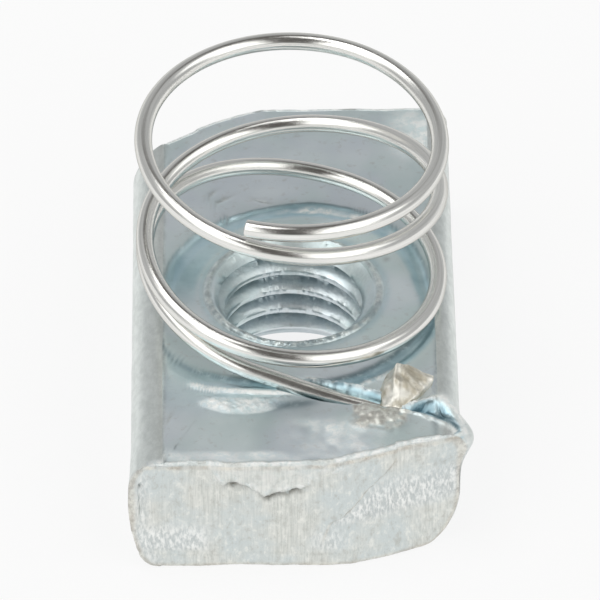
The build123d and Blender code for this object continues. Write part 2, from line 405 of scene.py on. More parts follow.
def rim_bump(x, y):
    """The burr ring round the mouth of the hole."""
    r = np.hypot(x, y)
    angle = np.arctan2(y, x)
    ragged = 0.05 * noise(angle * 3.2, 0 * r, 8)
    across = (r - rim_middle - ragged) / (rim_width / 2)
    uneven = 1 + 0.3 * noise(angle * 5, r * 2, 9) + 0.3 * noise(x * 6, y * 6, 10)
    return rim_height * uneven * np.maximum(1 - across**2, 0)


def scuffs(x, y):
    """A few short marks pressed into the face: place, length and direction of each."""
    total = 0
    for mark_x, mark_y, length, turn in marks:
        along = (x - mark_x) * math.cos(turn) + (y - mark_y) * math.sin(turn)
        across = (y - mark_y) * math.cos(turn) - (x - mark_x) * math.sin(turn)
        total = total + np.exp(-((along / length) ** 2) - (across / 0.13) ** 2)
    return total


def creases(x, y):
    """Where the rolled edges begin, as a narrow wandering line along each side."""
    wander = 0.12 * noise(y * 0.5, 0 * y, 19) + 0.05 * noise(y * 2.1, 0 * y, 20)
    left = np.exp(-(((x - crease_left - wander) / 0.16) ** 2))
    right = np.exp(-(((x - crease_right - 0.04 * (y + 12) + wander) / 0.16) ** 2)) * smooth(-y, -8, -2)
    return left + 0.8 * right


def face_height(x, y):
    """Height of the top face: the rolled surface and all that was pressed into it."""
    rolled = 0.014 * layered_noise(x * 0.35, y * 0.35, 11) + 0.006 * noise(x * 2.2, y * 1.1, 13)
    height = thickness + rolled - 0.06 * scuffs(x, y) - 0.035 * creases(x, y)
    height = height + seat_relief(x, y) + thrown_ridges(x, y) + rim_bump(x, y)
    return height + slot_lips(x, y) + pinched_lip(x, y) - slot_drop(x, y)


def lip_groove_height(x, y):
    """Height of the underside, with the two toothed grooves for the channel lips."""
    offset = abs(abs(y) - lip_spacing / 2)
    slope = (lip_groove_width - lip_groove_floor) / 2
    groove = lip_groove_depth * min(max((lip_groove_width / 2 - offset) / slope, 0), 1)
    from_root = abs(((x / tooth_pitch) % 1) - 0.5) * 2
    on_floor = offset < lip_groove_floor / 2 + 0.01
    return groove + tooth_depth * (1 - from_root) * on_floor


# --- Mesh of the nut ---
def crowded(points, rows, turning=0.55):
    """Picks rows along each column's fine line of points, closer where the line bends.

    points has the shape (columns, samples, 3). The first and last samples are kept.
    """
    step = np.diff(points, axis=1)
    length = np.linalg.norm(step, axis=2)
    way = step / np.maximum(length, 1e-9)[..., None]
    bend = np.linalg.norm(np.diff(way, axis=1), axis=2)
    bend = np.pad(bend, ((0, 0), (1, 0)))
    weight = length + turning * np.minimum(bend, 0.6)
    kernel = np.ones(9) / 9
    weight = np.apply_along_axis(lambda line: np.convolve(line, kernel, "same"), 1, weight)
    weight = (weight + np.roll(weight, 1, 0) + np.roll(weight, -1, 0)) / 3
    total = np.pad(np.cumsum(weight, axis=1), ((0, 0), (1, 0)))
    total = total / total[:, -1:]
    wanted = np.linspace(0, 1, rows)
    samples = np.arange(points.shape[1])
    picked = np.empty((points.shape[0], rows, 3))
    for column in range(points.shape[0]):
        place = np.interp(wanted, total[column], samples)
        for axis in range(3):
            picked[column, :, axis] = np.interp(place, samples, points[column, :, axis])
    return picked


def mouth_radius(angle, z):
    """Radius of the threaded hole's wall."""
    phase = (z - crest_height) / thread_pitch - (angle - math.pi / 2) / (2 * math.pi)
    from_crest = np.abs((phase + 0.5) % 1 - 0.5) * thread_pitch
    cut = np.clip((from_crest - crest_half_width) * flank_slope, 0, thread_depth)
    thread = bore_radius + cut
    upper = upper_mouth[0] - (upper_mouth[0] - bore_radius) * (thickness - z) / upper_mouth[1]
    lower = lower_mouth[0] - (lower_mouth[0] - bore_radius) * z / lower_mouth[1]
    return most(thread, upper, lower)


# The sheared front end, as distances to the right and heights: the torn skin's lower edge
# under the top, and the line past which the metal broke away lower down on the right.
skin_edge = (
    (-5.6, -5.3, -4.9, -4.46, -3.67, -3.0, -2.3, -2.0, -1.2, -0.26, 0.6, 0.94, 1.3, 1.6),
    (8.2, 7.8, 7.26, 6.35, 6.62, 6.31, 5.9, 5.43, 5.74, 5.85, 6.12, 6.66, 6.97, 8.2),
)
break_edge = (
    (0.6, 3.04, 3.38, 3.68, 4.11, 4.62, 5.27, 5.71, 6.39, 6.89, 7.63),
    (1.2, 1.91, 2.15, 2.81, 3.24, 3.66, 4.14, 4.74, 5.52, 5.88, 6.0),
)


def above_skin(across, z):
    """How far above the torn skin's lower edge a place on a sheared end is."""
    return z - np.interp(across, *skin_edge)


def end_zones(across, z, front):
    """Masks on a sheared end: torn skin, its undercut notches, broken and flecked metal."""
    ragged = 0.09 * noise(across * 3.4, z * 0.5, 24) + 0.06 * noise(across * 8, z * 2, 25)
    above = above_skin(across, z) + ragged
    skin = smooth(above, -0.03, 0.09) * front
    notched = peak(across, -3.7, 0.6, 4) + peak(across, -0.8, 1.3, 4)
    broken_up = 0.85 + 0.5 * noise(across * 2.9, z * 2, 53)
    notch = peak(above, -0.1, 0.21) * notched * front * broken_up
    past = across - np.interp(z, *break_edge) + 0.8 * ragged
    broken = smooth(past, 0, 0.22) * (1 - smooth(across, 6.4, 8.6)) * smooth(z, 0.8, 2.4)
    flecked = smooth(past, 0.05, 0.5) * smooth(z, 2.6, 3.6) * (1 - smooth(z, 4.6, 6.4))
    left = smooth(z, 1.0, 1.5) * (1 - smooth(z, 2.4, 3.9)) * (1 - smooth(across, -6, -4.6))
    middle = smooth(z, 0.8, 1.5) * (1 - smooth(z, 2.2, 3.2)) * peak(across, 1.9, 1.1, 4)
    return skin, notch, broken, most(flecked, left, 0.7 * middle)


def end_relief(across, z, front):
    """How far the sheared ends stand out or in, from their torn and scored faces."""
    skin, notch, broken, flecked = end_zones(across, z, front)
    scored = 0.014 * noise(across * 5.5, z * 0.25, 21) + 0.01 * noise(across * 12, z * 0.5, 22)
    waves = 0.035 * layered_noise(across * 0.5, z * 0.5, 23)
    flecks = 0.04 * noise(across * 3.6 + z * 0.8, z * 1.3, 26)
    flecks = flecks + 0.03 * noise(across * 8.5, z * 2.4, 27)
    ledge = 0.07 * (1 - smooth(z + 0.1 * noise(across, 0 * z, 28), 0.85, 1.1))
    chips = spot(across, z, (2.5, 7.5), (0.35, 0.28))
    chips = chips + spot(across, z, (1.6, 7.7), (0.2, 0.3))
    pits = spot(across, z, (-9.4, 6.4), (0.12, 0.14)) * front
    crumbs = 0.05 * noise(across * 4.2, z * 4.2, 44) * peak(above_skin(across, z), 0.3, 0.4)
    torn_step = 0.1 * skin * peak(across, -2.2, 2.6, 6)
    relief = scored * (1 - 0.5 * skin) + waves + ledge + crumbs + torn_step - 0.16 * notch
    return relief - 0.13 * broken + flecks * flecked + 0.07 * chips - 0.09 * pits


def side_points(samples):
    """Fine lines down the side of the nut, one for each column."""
    share = (1 - np.cos(np.linspace(0, np.pi, samples))) / 2
    points = np.empty((columns, samples, 3))
    for sample in range(samples):
        z = np.full(columns, thickness * (1 - share[sample]))
        x, y = outline(z)
        points[:, sample] = np.stack([x, y, z], axis=1)
    return points


def pressed(points):
    """Heights of the side's points once the face's relief has been pressed down into them."""
    x, y, z = np.moveaxis(points, 2, 0)
    return z + (face_height(x, y) - thickness) * smooth(z, 4.5, thickness)


def outward_ways(points):
    """Level directions outwards from the side, in each column."""
    along = np.roll(points, -1, 0)[:, :, :2] - np.roll(points, 1, 0)[:, :, :2]
    along = along / np.maximum(np.linalg.norm(along, axis=2), 1e-9)[..., None]
    return np.stack([along[..., 1], -along[..., 0]], axis=2)


# Where the staking and the shear pushed the sides out: place along Y and Z, reach and push.
bulge_middle, bulge_spread, bulge_push = (-12.9, 7.1), (1.3, 1.4), 0.82
left_middle, left_spread, left_push = (-16.5, 5.2), (1.6, 2.0), 0.16


def shaped_side(points):
    """Adds the worn edges, the sheared texture and the bulges to the side's lines."""
    x, y, z = points[..., 0], points[..., 1], points[..., 2]
    ends = sheared(side_of)[:, None] * np.ones_like(z)
    across = np.where(np.isin(side_of, (1, 2))[:, None], x, -x)
    in_front = smooth(-y, 0, 5)
    uneven = 0.35 * noise(across * 1.9, 0 * z, 29) + 0.25 * noise(across * 5, 0 * z, 30)
    wear = edge_wear * (1 + in_front * uneven)
    near_top = np.clip(z - (thickness - wear), 0, wear)
    near_foot = np.clip(edge_wear - z, 0, edge_wear)
    worn = wear + edge_wear
    worn -= np.sqrt(wear**2 - near_top**2) + np.sqrt(edge_wear**2 - near_foot**2)
    pushed = ends * (end_relief(across, z, smooth(-y, 0, 1)) - worn)
    bulge = spot(y, z, bulge_middle, bulge_spread)
    spread = spot(y, z, left_middle, left_spread)
    pushed = pushed + bulge_push * bulge * (x > 0) + left_push * spread * (x < -half_width + 0.5)
    for middle, _ in (corners_at(z)[2], corners_at(z)[5]):
        pushed = pushed - 0.08 * ends * peak(x, middle, 1.3) * smooth(z, 6, 1)
    pushed = pushed + (1 - ends) * 0.02 * noise(y * 0.9, z * 0.5, 33)
    return points[..., :2] + outward_ways(points) * pushed[..., None]


side_samples, line_samples = 300, 900  # points of the fine lines that the rows are picked from
top_rows, side_rows, under_rows, wall_rows = 112, 72, 14, 48


def nut_lines():
    """The nut's whole surface as closed lines: face, side, underside and hole wall."""
    side = side_points(side_samples)
    side = np.concatenate([shaped_side(side), pressed(side)[..., None]], axis=2)
    rim = side[:, 0]
    foot = side[:, -1]
    rise = np.linspace(0, 1, line_samples)[None, :]
    share = rise[..., None]
    angle = np.arctan2(rim[:, 1], rim[:, 0])
    mouth = np.stack([np.cos(angle), np.sin(angle)], axis=1)
    top = mouth[:, None] * upper_mouth[0] * (1 - share) + rim[:, None, :2] * share
    top_z = face_height(top[..., 0], top[..., 1])
    settle = smooth(share[..., 0], 0.97, 1)
    top_z = top_z * (1 - settle) + rim[:, None, 2] * settle
    foot_angle = np.arctan2(foot[:, 1], foot[:, 0])
    low_mouth = np.stack([np.cos(foot_angle), np.sin(foot_angle)], axis=1)
    under = foot[:, None, :2] * (1 - share) + low_mouth[:, None] * lower_mouth[0] * share
    under_z = 0 * under[..., 0]
    wall_z = rise * (top_z[:, :1] - under_z[:, -1:]) + under_z[:, -1:]
    wall_angle = np.unwrap(foot_angle)[:, None] * (1 - rise) + np.unwrap(angle)[:, None] * rise
    wall_radius = mouth_radius(wall_angle, wall_z)
    wall_radius[:, 0] = lower_mouth[0]
    wall_radius[:, -1] = upper_mouth[0]
    wall_x, wall_y = wall_radius * np.cos(wall_angle), wall_radius * np.sin(wall_angle)
    return [
        crowded(np.concatenate([top, top_z[..., None]], axis=2), top_rows),
        crowded(side, side_rows),
        crowded(np.concatenate([under, under_z[..., None]], axis=2), under_rows),
        crowded(np.stack([wall_x, wall_y, wall_z], axis=2), wall_rows),
    ]


def slot_masks(x, y):
    """Where the slot's walls are, where its bright lips are and where it is in shade."""
    s, t = tail_coordinates(x, y)
    from_far, from_near = slot_edges(s, t)
    slot = smooth(from_far, -0.06, 0.12) * smooth(from_near, -0.06, 0.1) * smooth(s, 2, 4)
    ragged = 1 + 0.9 * noise(s * 3.7, t * 2, 46) * (1 - smooth(s, 10, 11))
    width = 0.15 + 0.1 * smooth(s, 10.2, 11)
    lip = peak(from_far, -width, width) * smooth(s, 2.6, 3.6) * ragged
    crumbs = 0.5 + 0.6 * noise(s * 3.3, t * 3.3, 47)
    near_lip = peak(from_near, -0.2, 0.22) * smooth(s, 10.2, 11.4) * crumbs
    # Painted shade: a dark line just inside the far edge, and darker colour deeper in the slot.
    shade = peak(from_far, 0.02, 0.11) * smooth(s, 2.6, 3.6) * (1 - smooth(s, 9, 10))
    shade = shade * smooth(noise(s * 4.1, t, 51), -0.5, 0.3)
    uneven = 1 + 0.3 * noise(s * 2.1, t * 2.1, 54)
    deep_shade = slot * (0.42 + 0.42 * smooth(s, 9.6, 10.6)) * smooth(from_far, 0.05, 0.3) * uneven
    lip = np.maximum(lip, near_lip) * (1 - smooth(s, 13.6, 14.2))
    return slot, lip, np.maximum(0.95 * shade, deep_shade)


def top_masks(x, y):
    """Masks on the top face, in the order of mask_names."""
    share, front = seat_place(x, y)
    slot, lip, slot_shade = slot_masks(x, y)
    r = np.hypot(x, y)
    patchy = 0.5 + 0.5 * layered_noise(x * 0.9, y * 0.9, 41)
    groove = smooth(share, -0.12, 0.22) * smooth(share, 1.08, 0.85) * smooth(x, -8.1, -7.2)
    streaks = 0.5 + 0.5 * noise(share * 6, np.degrees(np.arctan2(y, x)) * 0.05, 45)
    groove = groove * (1 - 0.5 * front * smooth(-x, -1, 3)) * (0.7 + 0.3 * streaks)
    dish = smooth(share, 1, 0.8) * smooth(r, 5.6, 6.3) * smooth(-x, 3.5, 5.5) * smooth(y, -2.5, 1)
    wake = smooth(share, 0.8, 1.1) * smooth(share, 3.2, 1.5) * front * smooth(-x, -1.5, 1.5)
    mouth = 0.45 * smooth(r, 5.0, 5.1) * smooth(r, 6.2, 5.6)
    film = most(groove, slot, 0.75 * dish, 0.4 * wake, mouth)
    to_arc = fan_radius - np.hypot(x - fan_middle[0], y - fan_middle[1])
    fan = smooth(to_arc, -0.15, 0.25) * smooth(-y, 10.35, 10.75) * (0.5 + 0.35 * patchy)
    fan = fan + 0.4 * fan * noise(x * 3.1, y * 5.2, 57)
    fan = fan * smooth(x, -6.4, -5.4) * (1 - smooth(x, -2.0, 0.2))
    ridge = peak(share, 0.86, 0.15, 4) * front * smooth(x, -7.0, -5.8)
    ridge = ridge * (1 - 0.7 * peak(x, 1.2, 1.4)) * (1 - smooth(x, 5.4, 6.6))
    patch = 1.3 * patchy * spot(x, y, (2.4, -14.0), (2.6, 1.5), 4)
    corner = patchy * smooth(x, 5.5, 7.5) * smooth(y, 12.5, 14.5)
    shore = 0.8 * patchy * (1 - smooth(np.abs(y - front_end - 0.6), 0.2, 0.7))
    inner = peak(share, 0.55, 0.24, 4) * smooth(y, 4.5, 7) * smooth(x, -1.5, 1)
    frost = most(fan, ridge, patch, corner, shore, 1.9 * inner * patchy)
    frost = np.maximum(frost * (1 - slot), lip)
    band = np.maximum(smooth(-x, 7.85, 8.2), smooth(x, 8.35, 9.1))
    mound = smooth(pinched_lip(x, y), 0.03, 0.12)
    stain = most(0.35 * creases(x, y), 0.95 * mound, 0.5 * scuffs(x, y))
    burr = np.exp(-(((r - rim_middle - 0.05) / 0.26) ** 4))
    # Painted shade: a dark line on the groove's inner edge below the wire at the front, a dark line on
    # its steep outer edge at the back, the dark zone beside the wire at the right front, a patch below
    # the fan's steep edge at its right end, and the wire's painted shadow between it and the ridge.
    inside = peak(share, 0.02, 0.17) * front
    outside = peak(share, 0.96, 0.09) * (1 - front)
    right = 0.62 * streaks * front * smooth(x, 2, 4) * smooth(share, 0.1, 0.3) * smooth(share, 1, 0.7)
    shade = np.exp(-(((x + 0.1) / 1.5) ** 4) - ((y + 11.0 - 0.15 * x) / 0.35) ** 2)
    under = peak(share, 0.35, 0.3, 4) * front * peak(x, -2.4, 1.6, 4)
    painted_shade_and_specks = most(0.8 * inside, 0.5 * under, 0.5 * outside, 0.75 * shade, right)
    painted_shade_and_specks = painted_shade_and_specks * smooth(x, -8.6, -7.9) * (1 - slot)
    specks = burr * (0.3 + 0.3 * smooth(-y, -1, 3)) * smooth(noise(x * 3.7, y * 3.7, 55), -0.4, 0.4)
    dotted = creases(x, y) * (0.25 + 0.4 * smooth(x, 0, 1) * smooth(noise(x, y * 2.6, 56), -0.2, 0.3))
    # The painted shade joined with the slot's painted shade, dark specks on the burr ring, darker dots
    # along the creases and darker pressed marks.
    painted_shade_and_specks = most(painted_shade_and_specks, slot_shade, specks, dotted, 0.3 * scuffs(x, y))
    return [film, frost, band, 0 * x, 0.35 * burr, np.maximum(stain, 0.45 * burr), painted_shade_and_specks]


def side_masks(x, y, z):
    """Masks on the sides, in the order of mask_names."""
    ends = sheared(side_of)[:, None] * np.ones_like(z)
    across = np.where(np.isin(side_of, (1, 2))[:, None], x, -x)
    front = smooth(-y, 0, 1)
    skin, notch, _, flecked = end_zones(across, z, front)
    dark = spot(across, z, (-9.4, 6.4), (0.14, 0.16)) * front
    rim = smooth(z, 7.5, 7.7) * smooth(z, 7.92, 7.82) * (0.6 + 0.5 * noise(across * 2.4, z, 42))
    to_side = np.where(
        x < 0,
        x + half_width_at(z, top_radius_left, bottom_round_left),
        half_width_at(z, top_radius_right, bottom_round_right) - x,
    )
    border = 0.7 * smooth(np.minimum(to_side, z), 0.4, 0.1) * smooth(z, 7.9, 7.5)
    gritty = peak(to_side, 0.7, 0.45) * smooth(x, -6, -8) * smooth(z, 7.6, 6.8)
    flecked = np.maximum(flecked, 0.7 * gritty)
    past = across - np.interp(z, *break_edge)
    line = 0.7 * peak(past, 0.05, 0.09) * smooth(z, 1.4, 2.2) * smooth(z, 7.4, 6.8)
    stain = most(rim, border, line) * ends
    above = above_skin(across, z)
    crumbs = peak(above, 0.25, 0.34) * smooth(noise(across * 5, z * 4, 43), -0.2, 0.3)
    crumbs = crumbs * front
    # Bright cream along the top edge of the ends: partly worn metal, partly a painted highlight on the
    # rounded edge.
    worn = np.maximum(smooth(noise(across * 1.9, 0 * z, 48), -0.6, 0.2), smooth(across, 2.2, 3.4))
    worn = np.maximum(worn, peak(across, -8.2, 0.6, 4)) * smooth(z, 7.86, 7.96)
    chipped = spot(across, z, (2.3, 7.6), (0.9, 0.45), 4)
    chipped = chipped * smooth(noise(across * 3.1, z * 3.1, 50), -0.2, 0.3)
    frost = most(0.3 * skin, crumbs, worn, chipped) * ends
    slot, lip, slot_shade = slot_masks(x, y)
    near_face = smooth(z, 5.6, 6.4)
    # Painted shade: the shadow in the undercut notches under the torn skin, a dark pit near the top
    # left corner of the front end, and the slot's painted shade near the face.
    painted_shade_and_specks = most(notch * ends, 0.7 * dark * ends, slot_shade * near_face)
    film = slot * near_face * (1 - ends)
    frost = np.maximum(frost, lip * near_face)
    return [film, frost, (1 - ends) * (1 - film), ends, flecked * ends, np.maximum(stain, 0), painted_shade_and_specks]


mask_names = ("film", "frost", "band", "torn", "fleck", "stain", "painted_shade_and_specks")


def nut_masks(parts):
    """The masks at each of the nut's vertices, from the four parts of its lines."""
    top, side, under, wall = [np.moveaxis(part[:, :-1], 2, 0) for part in parts]
    nothing = [0 * under[0]] * (len(mask_names) - 1)
    # Painted shade in the roots of the thread, fading out at the upper mouth.
    sunk = smooth(np.hypot(wall[0], wall[1]), bore_radius, bore_radius + thread_depth)
    sunk = sunk * (1 - smooth(wall[2], thickness - upper_mouth[1], thickness))
    gritty = 0.5 + 0.5 * noise(np.arctan2(wall[1], wall[0]) * 9, wall[2] * 6, 49)
    in_hole = [0.1 + 0 * sunk, 0 * sunk, 0 * sunk, 0 * sunk, 0.3 * gritty, 0.15 * gritty, 0.5 * sunk]
    on_parts = [
        top_masks(top[0], top[1]),
        side_masks(*side),
        [0.12 + nothing[0]] + nothing,
        in_hole,
    ]
    return [np.concatenate(rows, axis=1) for rows in zip(*on_parts)]


def placed(name, data):
    """A new object of the scene."""
    thing = bpy.data.objects.new(name, data)
    bpy.context.collection.objects.link(thing)
    return thing


def mesh_object(name, vertices, faces):
    mesh = bpy.data.meshes.new(name)
    mesh.from_pydata((np.asarray(vertices) * MM).tolist(), [], faces)
    mesh.validate()
    mesh.shade_smooth()
    return placed(name, mesh)


def capped_tube(rings, around):
    """Faces of a tube of rings of corners, with a cap on each end."""
    faces = [tuple(reversed(range(around)))]
    for row in range(rings - 1):
        low, high = row * around, (row + 1) * around
        for place in range(around):
            beside = (place + 1) % around
            faces.append((low + place, low + beside, high + beside, high + place))
    return faces + [tuple(range((rings - 1) * around, rings * around))]


def cut_lip_grooves(mesh):
    """Presses the two toothed grooves into the underside and the foot of the sides."""
    work = bmesh.new()
    work.from_mesh(mesh)
    half, flat = lip_groove_width / 2, lip_groove_floor / 2
    reach = (lip_groove_depth + tooth_depth) * 1.3

    def low_faces(middle, margin):
        chosen = []
        for face in work.faces:
            place = face.calc_center_median() / MM
            outside = math.hypot(place.x, place.y) > lower_mouth[0]
            if place.z < reach and outside and abs(place.y - middle) < margin:
                chosen.append(face)
        return chosen

    def split(faces, place, normal):
        parts = set(faces)
        for face in faces:
            parts.update(face.edges)
            parts.update(face.verts)
        bmesh.ops.bisect_plane(work, geom=list(parts), plane_co=place, plane_no=normal, dist=1e-8)

    for middle in (-lip_spacing / 2, lip_spacing / 2):
        for offset in (-half, -flat, flat, half):
            split(low_faces(middle, 2 * half), (0, (middle + offset) * MM, 0), (0, 1, 0))
        teeth = round(half_width / tooth_pitch * 2)
        for index in range(-teeth, teeth + 1):
            split(low_faces(middle, half), (index * tooth_pitch / 2 * MM, middle * MM, 0), (1, 0, 0))
    for corner in work.verts:
        x, y, z = corner.co / MM
        if z < reach and math.hypot(x, y) > lower_mouth[0]:
            corner.co.z = max(z, lip_groove_height(x, y)) * MM
    work.to_mesh(mesh)
    work.free()


def nut_block():
    parts = nut_lines()
    lines = np.concatenate([part[:, :-1] for part in parts], axis=1)
    rows = lines.shape[1]
    faces = []
    for column in range(columns):
        here, beside = column * rows, (column + 1) % columns * rows
        for row in range(rows):
            below = (row + 1) % rows
            faces.append((here + row, here + below, beside + below, beside + row))
    block = mesh_object("nut_block", lines.reshape(-1, 3), faces)
    for name, mask in zip(mask_names, nut_masks(parts)):
        layer = block.data.attributes.new(name, "FLOAT", "POINT")
        layer.data.foreach_set("value", np.clip(mask, 0, 1).ravel())
    cut_lip_grooves(block.data)
    block.data.set_sharp_from_angle(angle=math.radians(50))
    return block


# --- Spring ---
coiled_length = coil_radius * math.radians(tail_angle + 360 * whole_turns - free_end_angle)


def wire_heights(along):
    """Height of the wire's middle above the face, at distances along it."""
    quarter = coil_radius * math.pi / 2
    places = [quarter * index for index in range(len(quarter_heights))]
    places += [coiled_length + tail_length * share for share in (0, tail_partway, 1)]
    heights = quarter_heights + tail_heights
    places, heights = np.array(places), np.array(heights)
    slopes = np.empty(len(places))
    slopes[1:-1] = (heights[2:] - heights[:-2]) / (places[2:] - places[:-2])
    slopes[0] = 0
    slopes[-1] = (heights[-1] - heights[-2]) / (places[-1] - places[-2])
    span = np.clip(np.searchsorted(places, along, "right") - 1, 0, len(places) - 2)
    length = places[span + 1] - places[span]
    t = (along - places[span]) / length
    start_share = 2 * t**3 - 3 * t**2 + 1
    return (
        heights[span] * start_share
        + heights[span + 1] * (1 - start_share)
        + slopes[span] * length * (t**3 - 2 * t**2 + t)
        + slopes[span + 1] * length * (t**3 - t**2)
    )


def wire_line(count):
    along = np.linspace(free_end_trim, coiled_length + tail_length, count)
    turned = math.radians(free_end_angle) + np.minimum(along, coiled_length) / coil_radius
    past = np.maximum(along - coiled_length, 0)
    x = coil_shift[0] + coil_radius * np.cos(turned) + tail_way[0] * past
    y = coil_shift[1] + coil_radius * np.sin(turned) + tail_way[1] * past
    return np.stack([x, y, thickness + wire_heights(along)], axis=1)


def spring_wire():
    """The drawn wire, with a bevelled cut at its free end and one at its tip."""
    line = wire_line(wire_points)
    way = np.gradient(line, axis=0)
    way /= np.linalg.norm(way, axis=1)[:, None]
    side = np.cross(way, [0, 0, 1])
    side /= np.linalg.norm(side, axis=1)[:, None]
    up = np.cross(side, way)
    angle = np.linspace(0, 2 * np.pi, wire_around, endpoint=False)
    vertices, streaks = [], []

    def ring(index, shift, radius):
        middle = line[index] + way[index] * shift
        for turn in angle:
            across, rise = math.cos(turn), math.sin(turn)
            vertices.append(middle + (side[index] * across + up[index] * rise) * radius)
            streaks.append((0.006 * index, across, rise))

    last = len(line) - 1
    end_rings = ((0, 0.25 * wire_radius), (0, wire_radius - end_bevel))
    end_rings += ((0.3 * end_bevel, wire_radius - 0.3 * end_bevel), (end_bevel, wire_radius))
    for shift, radius in end_rings:
        ring(0, shift, radius)
    for index in range(1, last):
        ring(index, 0, wire_radius)
    for shift, radius in reversed(end_rings):
        ring(last, -shift, radius)
    wire = mesh_object("spring_wire", vertices, capped_tube(len(vertices) // wire_around, wire_around))
    layer = wire.data.attributes.new("streak_place", "FLOAT_VECTOR", "POINT")
    layer.data.foreach_set("vector", np.ravel(streaks))
    wire.data.set_sharp_from_angle(angle=math.radians(50))
    return wire


# --- Staked lug ---
def tail_place(s, t, height):
    """A point from its place along and across the tail, and its height above the face."""
    x = tail_root[0] + s * tail_way[0] - t * tail_way[1]
    y = tail_root[1] + s * tail_way[1] + t * tail_way[0]
    return (x, y, thickness + height)


def torn_lump(name, rows, roughness, seed):
    """A closed lump from rows of points across it, softened and torn at its surface."""
    around = len(rows[0])
    vertices = [tail_place(*point) for row in rows for point in row]
    lump = mesh_object(name, vertices, capped_tube(len(rows), around))
    bpy.context.view_layer.objects.active = lump
    crease = lump.modifiers.new("soften", "SUBSURF")
    crease.levels = crease.render_levels = 4
    crease.subdivision_type = "CATMULL_CLARK"
    attribute = lump.data.attributes.new("crease_edge", "FLOAT", "EDGE")
    attribute.data.foreach_set("value", [0.55] * len(lump.data.edges))
    fine = bpy.data.meshes.new_from_object(lump.evaluated_get(bpy.context.evaluated_depsgraph_get()))
    lump.modifiers.clear()
    lump.data = fine
    places, normals = np.empty(len(fine.vertices) * 3), np.empty(len(fine.vertices) * 3)
    fine.vertices.foreach_get("co", places)
    fine.vertices.foreach_get("normal", normals)
    places, normals = places.reshape(-1, 3) / MM, normals.reshape(-1, 3)
    x, y, z = places.T
    rough = layered_noise(x * 2.2 + z * 1.3, y * 2.2 - z, seed)
    places = places + normals * rough[:, None] * roughness
    fine.vertices.foreach_set("co", (places * MM).ravel())
    fine.shade_smooth()
    return lump


def staked_lug():
    """The lug sheared up behind the slot and bent over the wire."""
    rows = []
    for t, left, right, peak_left, peak_right, height in (
        (2.95, 8.5, 10.5, 9.0, 10.0, 0.12),
        (2.15, 7.8, 10.7, 8.4, 8.95, 1.3),
        (0.85, 7.65, 10.2, 8.55, 9.1, 0.85),
        (-0.62, 8.3, 9.35, 8.8, 9.15, 0.12),
    ):
        sill = 0.38 * height
        rows.append(
            [
                (left, t, -0.5),
                (right, t, -0.5),
                (right, t, sill),
                (peak_right, t, height),
                (peak_left, t, height),
                (left, t, 0.3 * sill),
            ]
        )
    return torn_lump("staked_lug", rows, 0.05, 31)


# --- Materials ---
class Nodes:
    """Short calls for building the nodes of a material or of the world."""

    def __init__(self, owner, shader="Principled BSDF"):
        owner.use_nodes = True
        self.owner = owner
        self.tree = owner.node_tree
        self.shader = self.tree.nodes[shader]
        self.place = self.tree.nodes.new("ShaderNodeTexCoord").outputs["Object"]

    def add(self, kind, values=(), **settings):
        node = self.tree.nodes.new("ShaderNode" + kind)
        for setting, value in settings.items():
            setattr(node, setting, value)
        for key, value in dict(values).items():
            self.give(node.inputs[key], value)
        return node

    def give(self, socket, value):
        if isinstance(value, bpy.types.NodeSocket):
            self.tree.links.new(value, socket)
        else:
            socket.default_value = value

    def drive(self, name, value):
        """Gives one of the shader's inputs its value."""
        self.give(self.shader.inputs[name], value)

    def stretched(self, scale, turn=(0, 0, 0)):
        mapping = self.add("Mapping", {"Vector": self.place, "Scale": scale, "Rotation": turn})
        return mapping.outputs["Vector"]

    def noise(self, vector, scale, detail=3.0, roughness=0.55):
        values = {"Vector": vector, "Scale": scale, "Detail": detail, "Roughness": roughness}
        return self.add("TexNoise", values).outputs["Fac"]

    def ramp(self, value, low, high, start, end):
        values = {"Value": value, "From Min": low, "From Max": high, "To Min": start, "To Max": end}
        return self.add("MapRange", values).outputs["Result"]

    def step(self, value, low, high):
        """A smooth step from 0 at low to 1 at high, which may be the smaller."""
        values = {"Value": value, "From Min": low, "From Max": high}
        node = self.add("MapRange", values, interpolation_type="SMOOTHSTEP")
        return node.outputs["Result"]

    def mix(self, share, first, second):
        return self.blend(share, first, second, "RGBA")

    def blend(self, share, first, second, kind="FLOAT"):
        node = self.add("Mix", {"Factor": share}, data_type=kind)
        self.give(node.inputs["A"], first)
        self.give(node.inputs["B"], second)
        return node.outputs["Result"]

    def attribute(self, name, output):
        return self.add("Attribute", attribute_name=name).outputs[output]

    def maths(self, operation, first, second):
        return self.add("Math", {0: first, 1: second}, operation=operation).outputs[0]

    def times(self, first, second):
        return self.maths("MULTIPLY", first, second)

    def bump(self, height, strength, distance, under=None):
        values = {"Height": height, "Strength": strength, "Distance": distance}
        if under is not None:
            values["Normal"] = under
        return self.add("Bump", values).outputs["Normal"]


def plated(name):
    nodes = Nodes(bpy.data.materials.new(name))
    nodes.drive("Metallic", 1.0)
    return nodes


